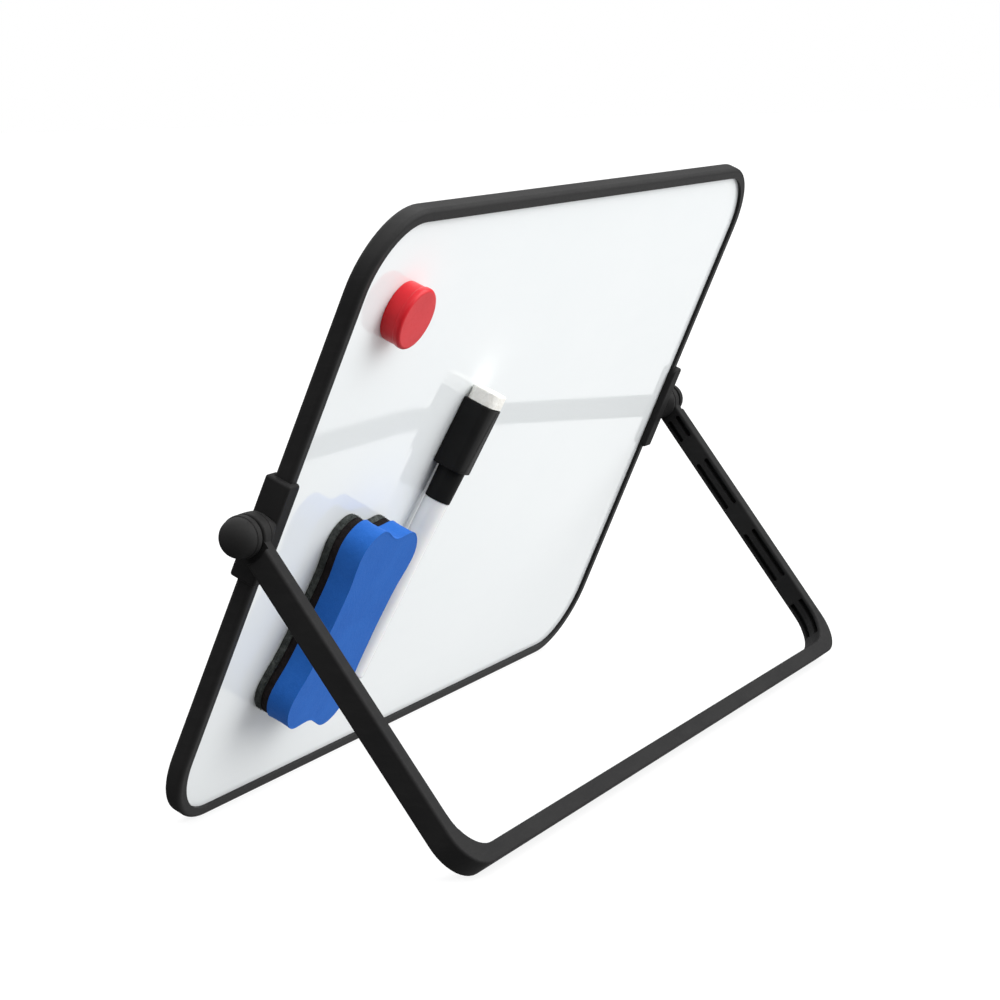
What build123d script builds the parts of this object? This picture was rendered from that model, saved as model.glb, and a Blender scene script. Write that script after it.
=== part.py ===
from build123d import *
import math
import os

# Two-sided magnetic whiteboard on a turning U-shaped stand, with a button
# magnet, a marker in a magnetic cap and a foam eraser on the board's back.
# Row frame: +X along the hinge axis, +Z up, the stand's foot bar towards +Y.
# z = 0 is the desk, which the board's lower edge and the foot bar stand on.

# ---------------------------------------------------------------- dimensions
BOARD_W = 297.0        # board width over the rim
BOARD_H = 210.0        # board height over the rim
BOARD_T = 6.0          # rim thickness
BOARD_R = 26.0         # outer corner radius
RIM_LIP = 3.8          # width of the rim's lip on the face
RIM_WALL = 1.6         # rim's outer wall
RIM_EDGE = 1.5         # rounding of the rim's outer edges
PANEL_T = 3.6          # sheet + core + sheet
SHEET_T = 0.35         # steel sheet
BOARD_LEAN = 24.55     # degrees that the board leans back from upright

PIVOT_U = 107.0        # hinge axis above the board's lower edge, along the board
STAND_L = 118.5        # hinge axis to the foot bar's outer face
STAND_XO = 160.5       # hinge centre plane to the leg's outer face
STAND_T = 5.6          # leg and foot bar thickness in the U's plane
STAND_D = 8.4          # leg and foot bar depth across the U's plane
STAND_RO = 13.5        # outer corner radius of the U
STAND_RI = 13.5        # inner corner radius of the U
STAND_EDGE = 0.9       # rounding of the U's edges
EYE_R, EYE_X1 = 6.65, 158.6     # round eye at the leg's top, thinner than the leg
STEP_R = 8.3           # round step from the eye's outer face up to the leg's
SLOT_W = 1.9           # coring slot width
SLOT_M = 2.05          # coring slot offset from the leg's mid plane
SLOT_DEPTH = 3.0       # coring slot depth
SLOTS = [(8.6, 18.2), (29.0, 50.2), (62.4, 84.4)]   # along the leg
SLOT_BEND = (95.5, 50.0)                            # start on the leg, end angle round the bend

BRACKET_X0, BRACKET_X1 = 144.2, 151.0    # bracket over the lip, and its side face
BRACKET_L = 34.0
BRACKET_N = 4.5        # half thickness of the bracket
BRACKET_EDGE = 0.9
BRACKET_CORNER = 1.8   # corners over the lip
BOSS_X = 154.5         # end face of the pivot boss
BOSS_R = 6.55
INSERT_R = 2.5
INSERT_X0, INSERT_X1 = 149.3, 154.3
SCREW_R = 1.5
SHOULDER_R = 2.4
HEAD_R, HEAD_X0, HEAD_X1 = 3.9, 157.5, 159.5
EYE_BORE_R = 2.47
EYE_SINK_R, EYE_SINK_X = 4.8, 157.0
CAP_NECK_R = 5.4       # cap stands on the eye on this neck, which leaves a round groove
CAP_R, CAP_X0, CAP_X1 = 6.6, 159.9, 161.2    # cap's skirt, and where its round dome starts

FACE_N = PANEL_T / 2   # sheet surface from the board's mid plane
REST_GAP = 0.05        # accessories stand this far off the sheet

MAGNET_AT = (117.2, 176.7)
MAGNET_R, MAGNET_H = 10.0, 7.0

MARKER_AT = (46.43, 102.6)   # mouth of the cap
MARKER_TURN = 13.45          # degrees from the board's upright
MARKER_AXIS_N = 5.15         # marker axis above the cap block's board side
COLLAR_R, COLLAR_L = 4.65, 11.3
COLLAR_MOUTH_R = 4.45
BLOCK_P, BLOCK_N, BLOCK_L = 12.6, 10.2, 23.7
BARREL_R, BARREL_L = 4.2, 62.0

ERASER_AT = (93.07, 68.06)
ERASER_TURN = 11.46
ERASER_FELT_T, ERASER_FOAM_T = 5.2, 8.3
ERASER_FELT_INSET = 0.5      # felt lies this far inside the foam's edge
# a quarter of the outline: degrees from the waist to the long end, radius
ERASER_QUARTER = [(0, 17.0), (22, 18.57), (42, 24.23), (55, 34.05), (64, 36.57), (73, 36.6), (82, 33.93), (90, 32.64)]

ORIGIN_Y = -57.38      # puts the middle of the whole box on the origin

# ------------------------------------------------------------------- frames
th = math.radians(BOARD_LEAN)
U = Vector(0, math.sin(th), math.cos(th))        # up along the board
N = Vector(0, math.cos(th), -math.sin(th))       # out of the board's back face
X = Vector(1, 0, 0)
# the rounded lower edge of the rim touches z = 0
z0 = -(RIM_EDGE * math.cos(th) - (BOARD_T / 2 - RIM_EDGE) * math.sin(th) - RIM_EDGE)
O = Vector(0, ORIGIN_Y, z0)


def at(x, u, n):
    return O + X * x + U * u + N * n


pivot = at(0, PIVOT_U, 0)


def foot_low(phi):
    r = STAND_EDGE
    return (pivot.Z - (STAND_L - STAND_T / 2) * math.cos(phi)
            - (STAND_T / 2 - r) * math.cos(phi) - (STAND_D / 2 - r) * math.sin(phi) - r)


lo, hi = math.radians(5), math.radians(80)
for _ in range(80):
    mid = (lo + hi) / 2
    lo, hi = (mid, hi) if foot_low(mid) < 0 else (lo, mid)
phi = (lo + hi) / 2
V = Vector(0, math.sin(phi), -math.cos(phi))     # down the leg
M = Vector(0, math.cos(phi), math.sin(phi))      # across the U's plane
print("leg angle from upright", round(math.degrees(phi), 3), "pivot", pivot, "z0", round(z0, 4))

front = Plane(origin=O, x_dir=X, z_dir=N * -1)           # (x, u, -n)
stand = Plane(origin=pivot, x_dir=X, z_dir=M)            # (x, v, m)


def turned(x):
    # plane across the hinge axis, its own z along +X, its x along the board's U
    return Plane(origin=pivot + X * x, x_dir=U, z_dir=X)


def leg_plane(x):
    # plane on a leg's inner face, its x down the leg
    return Plane(origin=pivot + X * x, x_dir=V, z_dir=X)


def back(x, u, n, turn=0.0):
    # plane on the board's back, its z out of the face, its y up the board
    p = Plane(origin=at(x, u, n), x_dir=X * -1, z_dir=N)
    return p.rotated((0, 0, turn))


os.makedirs("parts", exist_ok=True)


def save(part, name):
    part.label = name
    export_step(part, "parts/" + name + ".step")


# -------------------------------------------------------------------- panel
def sheet_outline(shrink):
    with Locations((0, BOARD_H / 2)):
        RectangleRounded(BOARD_W - 2 * shrink, BOARD_H - 2 * shrink, BOARD_R - shrink)


with BuildPart() as front_sheet:
    with BuildSketch(front.offset(PANEL_T / 2 - SHEET_T)):
        sheet_outline(1.8)
    extrude(amount=SHEET_T)
save(front_sheet.part, "front_sheet")

with BuildPart() as back_sheet:
    with BuildSketch(front.offset(-PANEL_T / 2)):
        sheet_outline(1.8)
    extrude(amount=SHEET_T)
save(back_sheet.part, "back_sheet")

with BuildPart() as board_core:
    with BuildSketch(front.offset(-PANEL_T / 2 + SHEET_T)):
        sheet_outline(2.0)
    extrude(amount=PANEL_T - 2 * SHEET_T)
save(board_core.part, "board_core")

# ---------------------------------------------------------------------- rim
with BuildPart() as rim:
    with BuildSketch(front.offset(-BOARD_T / 2)):
        sheet_outline(0)
    extrude(amount=BOARD_T)
    fillet(rim.faces().filter_by(Axis(tuple(O), tuple(N))).edges(), RIM_EDGE)
    with BuildSketch(front.offset(-PANEL_T / 2)):
        sheet_outline(RIM_WALL)
    extrude(amount=PANEL_T, mode=Mode.SUBTRACT)
    with BuildSketch(front.offset(-BOARD_T)):
        sheet_outline(RIM_LIP)
    extrude(amount=2 * BOARD_T, mode=Mode.SUBTRACT)

joint_plane = Plane(origin=at(0, PIVOT_U, 0), x_dir=X, z_dir=U)
with BuildPart() as rim_upper:
    add(rim.part)
    split(bisect_by=joint_plane, keep=Keep.TOP)
save(rim_upper.part, "rim_upper")
with BuildPart() as rim_lower:
    add(rim.part)
    split(bisect_by=joint_plane, keep=Keep.BOTTOM)
save(rim_lower.part, "rim_lower")

# ----------------------------------------------------------- hinge brackets
for side, name in ((-1, "hinge_bracket_left"), (1, "hinge_bracket_right")):
    with BuildPart() as hinge_bracket:
        with BuildSketch(front.offset(-BRACKET_N)):
            with Locations((side * (BRACKET_X0 + BRACKET_X1) / 2, PIVOT_U)):
                Rectangle(BRACKET_X1 - BRACKET_X0, BRACKET_L)
        extrude(amount=2 * BRACKET_N)
        fillet(hinge_bracket.edges().filter_by(lambda e: abs((e.center() - O).dot(N)) < 0.01
                                               and abs(e.center().X) < BRACKET_X0 + 0.01), BRACKET_CORNER)
        fillet(hinge_bracket.edges().filter_by(lambda e: abs(e.center().X) > BRACKET_X1 - 0.01
                                               or abs((e.center() - O).dot(N)) > BRACKET_N - 0.01), BRACKET_EDGE)
        # square foot of the boss, flush with the bracket's faces, opening into the round end
        with BuildSketch(turned(side * (BRACKET_X1 - 1.0))):
            RectangleRounded(2 * 4.9, 2 * (BRACKET_N - 0.15), 1.2)
        with BuildSketch(turned(side * (BOSS_X - 1.3))):
            Circle(BOSS_R)
        loft()
        with BuildSketch(turned(side * (BOSS_X - 1.3))):
            Circle(BOSS_R)
        extrude(amount=side * 1.3)
        # channel that takes the rim
        with BuildSketch(front.offset(-BOARD_T / 2)):
            with Locations((side * (BOARD_W / 2 - 5), PIVOT_U)):
                Rectangle(10, BRACKET_L + 10)
        extrude(amount=BOARD_T, mode=Mode.SUBTRACT)
        # blind hole for the insert
        with BuildSketch(turned(side * (INSERT_X0 - 0.1))):
            Circle(INSERT_R)
        extrude(amount=side * (BOSS_X + 1 - INSERT_X0), mode=Mode.SUBTRACT)
    save(hinge_bracket.part, name)

with BuildPart() as threaded_inserts:
    for side in (-1, 1):
        with BuildSketch(turned(side * INSERT_X0)):
            Circle(INSERT_R)
            Circle(SCREW_R + 0.05, mode=Mode.SUBTRACT)
        extrude(amount=side * (INSERT_X1 - INSERT_X0))
save(threaded_inserts.part, "threaded_inserts")

with BuildPart() as pivot_screws:
    for side in (-1, 1):
        with BuildSketch(turned(side * 149.7)):
            Circle(SCREW_R)
        extrude(amount=side * (INSERT_X1 - 149.7))
        with BuildSketch(turned(side * INSERT_X1)):
            Circle(SHOULDER_R)
        extrude(amount=side * (HEAD_X0 - INSERT_X1))
        with BuildSketch(turned(side * HEAD_X0)):
            Circle(HEAD_R)
        extrude(amount=side * (HEAD_X1 - HEAD_X0))
        with BuildSketch(turned(side * (HEAD_X1 - 1.2))):
            Rectangle(4.6, 0.9)
            Rectangle(0.9, 4.6)
        extrude(amount=side * 2, mode=Mode.SUBTRACT)
save(pivot_screws.part, "pivot_screws")

with BuildPart() as friction_washers:
    for side in (-1, 1):
        with BuildSketch(turned(side * BOSS_X)):
            Circle(6.1)
            Circle(SHOULDER_R + 0.15, mode=Mode.SUBTRACT)
        extrude(amount=side * (STAND_XO - STAND_T - 0.05 - BOSS_X))
save(friction_washers.part, "friction_washers")

# -------------------------------------------------------------------- stand
XI = STAND_XO - STAND_T      # inner face of a leg
VI = STAND_L - STAND_T       # inner face of the foot bar
with BuildPart() as stand_frame:
    with BuildSketch(stand.offset(-STAND_D / 2)):
        with BuildLine():
            outer = FilletPolyline((-STAND_XO, 0), (-STAND_XO, STAND_L), (STAND_XO, STAND_L), (STAND_XO, 0), radius=STAND_RO)
            inner = FilletPolyline((-XI, 0), (-XI, VI), (XI, VI), (XI, 0), radius=STAND_RI)
            Line(outer @ 0, inner @ 0)
            Line(outer @ 1, inner @ 1)
        make_face()
    extrude(amount=STAND_D)
    fillet(stand_frame.edges().filter_by(lambda e: abs((e.center() - pivot).dot(M)) > STAND_D / 2 - 0.01 and (e.center() - pivot).dot(V) > 1.0), STAND_EDGE)
    for side in (-1, 1):
        # step down to the eye's outer face
        with BuildSketch(turned(side * EYE_X1)):
            Circle(STEP_R)
        extrude(amount=side * 5, mode=Mode.SUBTRACT)
        with BuildPart(mode=Mode.PRIVATE) as eye:
            with BuildSketch(turned(side * XI)):
                Circle(EYE_R)
            extrude(amount=side * (EYE_X1 - XI))
            fillet(eye.edges().filter_by(lambda e: abs(e.center().X) > EYE_X1 - 0.1), 0.7)
        add(eye.part)
        with BuildSketch(turned(side * (XI - 1))):
            Circle(EYE_BORE_R)
        extrude(amount=side * (STAND_T + 2), mode=Mode.SUBTRACT)
        with BuildSketch(turned(side * EYE_SINK_X)):
            Circle(EYE_SINK_R)
        extrude(amount=side * 5, mode=Mode.SUBTRACT)
        # coring slots on the leg's inner face, two side by side
        with BuildSketch(leg_plane(side * (XI - 0.5))):
            for v0, v1 in SLOTS:
                with Locations(((v0 + v1) / 2, -SLOT_M), ((v0 + v1) / 2, SLOT_M)):
                    SlotOverall(v1 - v0, SLOT_W)
        extrude(amount=side * (SLOT_DEPTH + 0.5), mode=Mode.SUBTRACT)
        # the last pair runs round the bend
        cx, cv = side * (XI - STAND_RI), VI - STAND_RI
        for m in (-SLOT_M, SLOT_M):
            with BuildSketch(stand.offset(m - SLOT_W / 2)):
                with BuildLine():
                    a = math.radians(SLOT_BEND[1])
                    r1, r2 = STAND_RI - 0.4, STAND_RI + SLOT_DEPTH
                    Line((cx + side * r1, SLOT_BEND[0]), (cx + side * r2, SLOT_BEND[0]))
                    Line((cx + side * r1, SLOT_BEND[0]), (cx + side * r1, cv))
                    Line((cx + side * r2, SLOT_BEND[0]), (cx + side * r2, cv))
                    ThreePointArc((cx + side * r1, cv), (cx + side * r1 * math.cos(a / 2), cv + r1 * math.sin(a / 2)), (cx + side * r1 * math.cos(a), cv + r1 * math.sin(a)))
                    ThreePointArc((cx + side * r2, cv), (cx + side * r2 * math.cos(a / 2), cv + r2 * math.sin(a / 2)), (cx + side * r2 * math.cos(a), cv + r2 * math.sin(a)))
                    Line((cx + side * r1 * math.cos(a), cv + r1 * math.sin(a)), (cx + side * r2 * math.cos(a), cv + r2 * math.sin(a)))
                make_face()
            extrude(amount=SLOT_W, mode=Mode.SUBTRACT)
save(stand_frame.part, "stand_frame")

with BuildPart() as wave_washers:
    for side in (-1, 1):
        with BuildSketch(turned(side * EYE_SINK_X)):
            Circle(4.3)
            Circle(SHOULDER_R + 0.2, mode=Mode.SUBTRACT)
        extrude(amount=side * 0.5)
save(wave_washers.part, "wave_washers")

for side, name in ((-1, "hinge_cap_left"), (1, "hinge_cap_right")):
    with BuildPart() as hinge_cap:
        with BuildSketch(Plane(origin=pivot, x_dir=X * side, z_dir=N * -side)):
            with BuildLine():
                Polyline((160.2, 0), (160.2, 4.2), (157.7, 4.2), (157.7, EYE_SINK_R - 0.08), (EYE_X1, EYE_SINK_R - 0.08),
                         (EYE_X1, CAP_NECK_R), (CAP_X0, CAP_NECK_R), (CAP_X0, CAP_R - 0.3))
                ThreePointArc((CAP_X0, CAP_R - 0.3), (CAP_X0 + 0.088, CAP_R - 0.088), (CAP_X0 + 0.3, CAP_R))
                Line((CAP_X0 + 0.3, CAP_R), (CAP_X1, CAP_R))
                peak = CAP_X1 + CAP_R
                ThreePointArc((CAP_X1, CAP_R), (CAP_X1 + CAP_R * math.sqrt(0.5), CAP_R * math.sqrt(0.5)), (peak, 0))
                Line((peak, 0), (160.2, 0))
            make_face()
        revolve(axis=Axis(tuple(pivot), tuple(X)))
    save(hinge_cap.part, name)

# ------------------------------------------------------------ magnet button
mag = back(MAGNET_AT[0], MAGNET_AT[1], FACE_N + REST_GAP)
with BuildPart() as magnet_shell:
    with BuildSketch(mag):
        Circle(MAGNET_R)
    extrude(amount=MAGNET_H)
    fillet(magnet_shell.edges().group_by(Axis(tuple(mag.origin), tuple(N)))[-1], 1.1)
    with BuildSketch(mag.offset(-1)):
        Circle(8.1)
    extrude(amount=1 + 4.6, mode=Mode.SUBTRACT)
save(magnet_shell.part, "magnet_shell")

with BuildPart() as magnet_disc:
    with BuildSketch(mag):
        Circle(8.0)
    extrude(amount=4.5)
save(magnet_disc.part, "magnet_disc")

# ------------------------------------------------------------------- marker
tt = math.radians(MARKER_TURN)
A = X * -math.sin(tt) + U * math.cos(tt)       # along the marker, towards the cap's end
P = X * math.cos(tt) + U * math.sin(tt)
mouth = at(MARKER_AT[0], MARKER_AT[1], FACE_N + REST_GAP + MARKER_AXIS_N)


def mk(a):
    # across the marker: x = P, y = out of the board, z = towards the cap's end
    return Plane(origin=mouth + A * a, x_dir=P, z_dir=A)


with BuildPart() as marker_cap:
    with BuildSketch(mk(COLLAR_L)):
        with Locations((0, BLOCK_N / 2 - MARKER_AXIS_N)):
            RectangleRounded(BLOCK_P, BLOCK_N, 1.3)
    extrude(amount=BLOCK_L)
    fillet(marker_cap.edges().filter_by(lambda e: (e.center() - mouth).dot(A) > COLLAR_L + BLOCK_L - 0.01), 0.5)
    with BuildSketch(mk(0)):
        Circle(COLLAR_MOUTH_R)
    with BuildSketch(mk(COLLAR_L + 0.5)):
        Circle(COLLAR_R)
    loft()
    with BuildSketch(mk(-1)):
        Circle(3.75)
    extrude(amount=1 + COLLAR_L, mode=Mode.SUBTRACT)
    with BuildSketch(mk(COLLAR_L - 1)):
        Circle(2.9)
    extrude(amount=14, mode=Mode.SUBTRACT)
    with BuildSketch(mk(13.5)):
        with Locations((0, -MARKER_AXIS_N + 0.5)):
            Rectangle(8.4, 2.2)
    extrude(amount=19.5, mode=Mode.SUBTRACT)
save(marker_cap.part, "marker_cap")

with BuildPart() as cap_magnet:
    with BuildSketch(mk(13.6)):
        with Locations((0, -MARKER_AXIS_N + 0.85)):
            Rectangle(8.2, 1.45)
    extrude(amount=19.3)
save(cap_magnet.part, "cap_magnet")

with BuildPart() as cap_felt:
    with BuildSketch(mk(COLLAR_L + BLOCK_L)):
        with Locations((0, BLOCK_N / 2 - MARKER_AXIS_N)):
            RectangleRounded(12.2, 9.8, 3.2)
    extrude(amount=5.0)
save(cap_felt.part, "cap_felt")

with BuildPart() as marker_barrel:
    with BuildSketch(mk(-BARREL_L)):
        Circle(BARREL_R)
    extrude(amount=BARREL_L - 0.1)
    with BuildSketch(mk(-1)):
        Circle(3.6)
    extrude(amount=9)
    with BuildSketch(mk(-BARREL_L - 1)):
        Circle(3.15)
    extrude(amount=BARREL_L + 11, mode=Mode.SUBTRACT)
save(marker_barrel.part, "marker_barrel")

with BuildPart() as marker_end_plug:
    with BuildSketch(mk(-BARREL_L - 3)):
        Circle(BARREL_R)
    extrude(amount=3)
    fillet(marker_end_plug.edges().filter_by(lambda e: (e.center() - mouth).dot(A) < -BARREL_L - 2.9), 1.2)
    with BuildSketch(mk(-BARREL_L)):
        Circle(3.1)
    extrude(amount=5)
save(marker_end_plug.part, "marker_end_plug")

with BuildPart() as ink_reservoir:
    with BuildSketch(mk(-BARREL_L + 6)):
        Circle(3.0)
    extrude(amount=BARREL_L - 6 + 3)
save(ink_reservoir.part, "ink_reservoir")

with BuildPart() as nib_holder:
    with BuildSketch(Plane(origin=mouth, x_dir=A, z_dir=N)):
        with BuildLine():
            Polyline((3.2, 1.35), (3.2, 3.1), (8.0, 3.1), (8.1, 2.6), (13.5, 1.7), (13.5, 1.35), close=True)
        make_face()
    revolve(axis=Axis(tuple(mouth), tuple(A)))
save(nib_holder.part, "nib_holder")

with BuildPart() as marker_nib:
    with BuildSketch(mk(3.2)):
        Circle(1.3)
    extrude(amount=15.4)
    fillet(marker_nib.edges().filter_by(lambda e: (e.center() - mouth).dot(A) > 18.0), 1.1)
save(marker_nib.part, "marker_nib")

# ------------------------------------------------------------------- eraser
er = Plane(origin=at(ERASER_AT[0], ERASER_AT[1], FACE_N + REST_GAP),
           x_dir=X * -math.cos(math.radians(ERASER_TURN)) - U * math.sin(math.radians(ERASER_TURN)), z_dir=N)


def eraser_points(grow):
    quarter = [((r + grow) * math.cos(math.radians(a)), (r + grow) * math.sin(math.radians(a))) for a, r in ERASER_QUARTER]
    return (quarter + [(-x, y) for x, y in quarter[-2::-1]]
            + [(-x, -y) for x, y in quarter[1:]] + [(x, -y) for x, y in quarter[-2:0:-1]])


with BuildPart() as eraser_felt:
    with BuildSketch(er):
        with BuildLine():
            Spline(eraser_points(-ERASER_FELT_INSET), periodic=True)
        make_face()
    extrude(amount=ERASER_FELT_T)
save(eraser_felt.part, "eraser_felt")

with BuildPart() as eraser_foam:
    with BuildSketch(er.offset(ERASER_FELT_T)):
        with BuildLine():
            Spline(eraser_points(0), periodic=True)
        make_face()
    extrude(amount=ERASER_FOAM_T)
    with BuildSketch(er.offset(ERASER_FELT_T - 1)):
        with Locations((0, -19), (0, 19)):
            Circle(7.6)
    extrude(amount=1 + 2.1, mode=Mode.SUBTRACT)
save(eraser_foam.part, "eraser_foam")

with BuildPart() as eraser_magnets:
    with BuildSketch(er.offset(ERASER_FELT_T)):
        with Locations((0, -19), (0, 19)):
            Circle(7.5)
    extrude(amount=2.0)
save(eraser_magnets.part, "eraser_magnets")

whole = [front_sheet, rim_upper, rim_lower, stand_frame, eraser_foam, marker_cap, magnet_shell]
low = [min(tuple(p.part.bounding_box().min)[i] for p in whole) for i in range(3)]
high = [max(tuple(p.part.bounding_box().max)[i] for p in whole) for i in range(3)]
print("box low", [round(v, 3) for v in low], "high", [round(v, 3) for v in high])
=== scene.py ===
import math
import bpy
import bmesh
import numpy as np
from mathutils import Matrix, Vector
from mathutils import noise as mnoise


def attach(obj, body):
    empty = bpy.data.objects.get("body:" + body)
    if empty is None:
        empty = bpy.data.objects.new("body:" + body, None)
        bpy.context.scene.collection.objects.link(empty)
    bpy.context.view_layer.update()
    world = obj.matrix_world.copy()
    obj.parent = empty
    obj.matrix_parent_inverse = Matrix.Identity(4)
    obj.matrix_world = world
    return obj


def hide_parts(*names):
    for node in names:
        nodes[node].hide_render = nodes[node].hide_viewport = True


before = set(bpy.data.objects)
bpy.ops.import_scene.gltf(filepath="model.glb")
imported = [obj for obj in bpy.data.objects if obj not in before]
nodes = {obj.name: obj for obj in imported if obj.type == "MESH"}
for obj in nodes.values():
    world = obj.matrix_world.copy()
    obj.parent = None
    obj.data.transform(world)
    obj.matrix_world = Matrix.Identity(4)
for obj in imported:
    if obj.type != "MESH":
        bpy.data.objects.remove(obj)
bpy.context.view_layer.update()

MM = 0.001
scene = bpy.context.scene

# ------------------------------------------------------------------ the frame
TH = math.radians(24.55)
U = np.array([0.0, math.sin(TH), math.cos(TH)])       # up along the board
N = np.array([0.0, math.cos(TH), -math.sin(TH)])      # out of the board's back face
X = np.array([1.0, 0.0, 0.0])
O = np.array([0.0, -57.38, 0.7588])
PHI = math.radians(35.9086)
V = np.array([0.0, math.sin(PHI), -math.cos(PHI)])    # down the stand's legs
M = np.array([0.0, math.cos(PHI), math.sin(PHI)])     # across the stand's plane
PIV = O + 107.0 * U


def at(x, u, n):
    return O + x * X + u * U + n * N


# ------------------------------------------------------------- mesh utilities
def make(name, verts, faces, sharp=35.0):
    """An object at the origin from points in millimetres."""
    me = bpy.data.meshes.new(name)
    me.from_pydata([tuple(float(c) * MM for c in v) for v in verts], [], [tuple(int(i) for i in f) for f in faces])
    me.validate()
    me.update()
    ob = bpy.data.objects.new(name, me)
    scene.collection.objects.link(ob)
    bm = bmesh.new()
    bm.from_mesh(me)
    bmesh.ops.recalc_face_normals(bm, faces=bm.faces)
    bm.to_mesh(me)
    bm.free()
    shade(ob, sharp)
    return ob


def shade(ob, sharp=35.0):
    me = ob.data
    me.polygons.foreach_set("use_smooth", [True] * len(me.polygons))
    me.set_sharp_from_angle(angle=math.radians(sharp))
    me.update()


def loft(rings, close_u=True, close_v=False, cap0=True, cap1=True):
    """Faces between rings of equal length; close_u joins a ring's ends, close_v joins the last ring to the first."""
    k, m = len(rings), len(rings[0])
    verts = [p for r in rings for p in r]
    faces = []
    for i in range(k if close_v else k - 1):
        a, b = i * m, ((i + 1) % k) * m
        for j in range(m if close_u else m - 1):
            j2 = (j + 1) % m
            faces.append((a + j, a + j2, b + j2, b + j))
    if not close_v and close_u:
        if cap0:
            faces.append(tuple(range(m - 1, -1, -1)))
        if cap1:
            faces.append(tuple(range((k - 1) * m, k * m)))
    return verts, faces


def lathe(name, profile, origin, axis, ref, seg=96, sharp=35.0):
    """profile: (radius, height) points from one pole to the other; a radius of 0 is a pole."""
    axis = np.array(axis, float) / np.linalg.norm(axis)
    e1 = np.array(ref, float)
    e1 = e1 - axis * (e1 @ axis)
    e1 /= np.linalg.norm(e1)
    e2 = np.cross(axis, e1)
    verts, rows = [], []
    for r, h in profile:
        if r < 1e-9:
            rows.append([len(verts)])
            verts.append(origin + axis * h)
        else:
            rows.append(list(range(len(verts), len(verts) + seg)))
            for i in range(seg):
                t = 2 * math.pi * i / seg
                verts.append(origin + axis * h + r * (e1 * math.cos(t) + e2 * math.sin(t)))
    faces = []
    for a, b in zip(rows[:-1], rows[1:]):
        for j in range(seg):
            j2 = (j + 1) % seg
            if len(a) == 1 and len(b) == 1:
                continue
            if len(a) == 1:
                faces.append((a[0], b[j2], b[j]))
            elif len(b) == 1:
                faces.append((a[j], a[j2], b[0]))
            else:
                faces.append((a[j], a[j2], b[j2], b[j]))
    if len(rows[0]) > 1 and len(rows[-1]) > 1 and profile[0] == profile[-1]:
        # a closed section: weld the ends
        ob = make(name, verts, faces, sharp)
        bm = bmesh.new()
        bm.from_mesh(ob.data)
        bmesh.ops.remove_doubles(bm, verts=bm.verts, dist=1e-7)
        bmesh.ops.recalc_face_normals(bm, faces=bm.faces)
        bm.to_mesh(ob.data)
        bm.free()
        shade(ob, sharp)
        return ob
    return make(name, verts, faces, sharp)


def arc(cx, cy, r, a0, a1, k):
    return [(cx + r * math.cos(math.radians(a0 + (a1 - a0) * i / k)), cy + r * math.sin(math.radians(a0 + (a1 - a0) * i / k))) for i in range(k + 1)]


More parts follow.
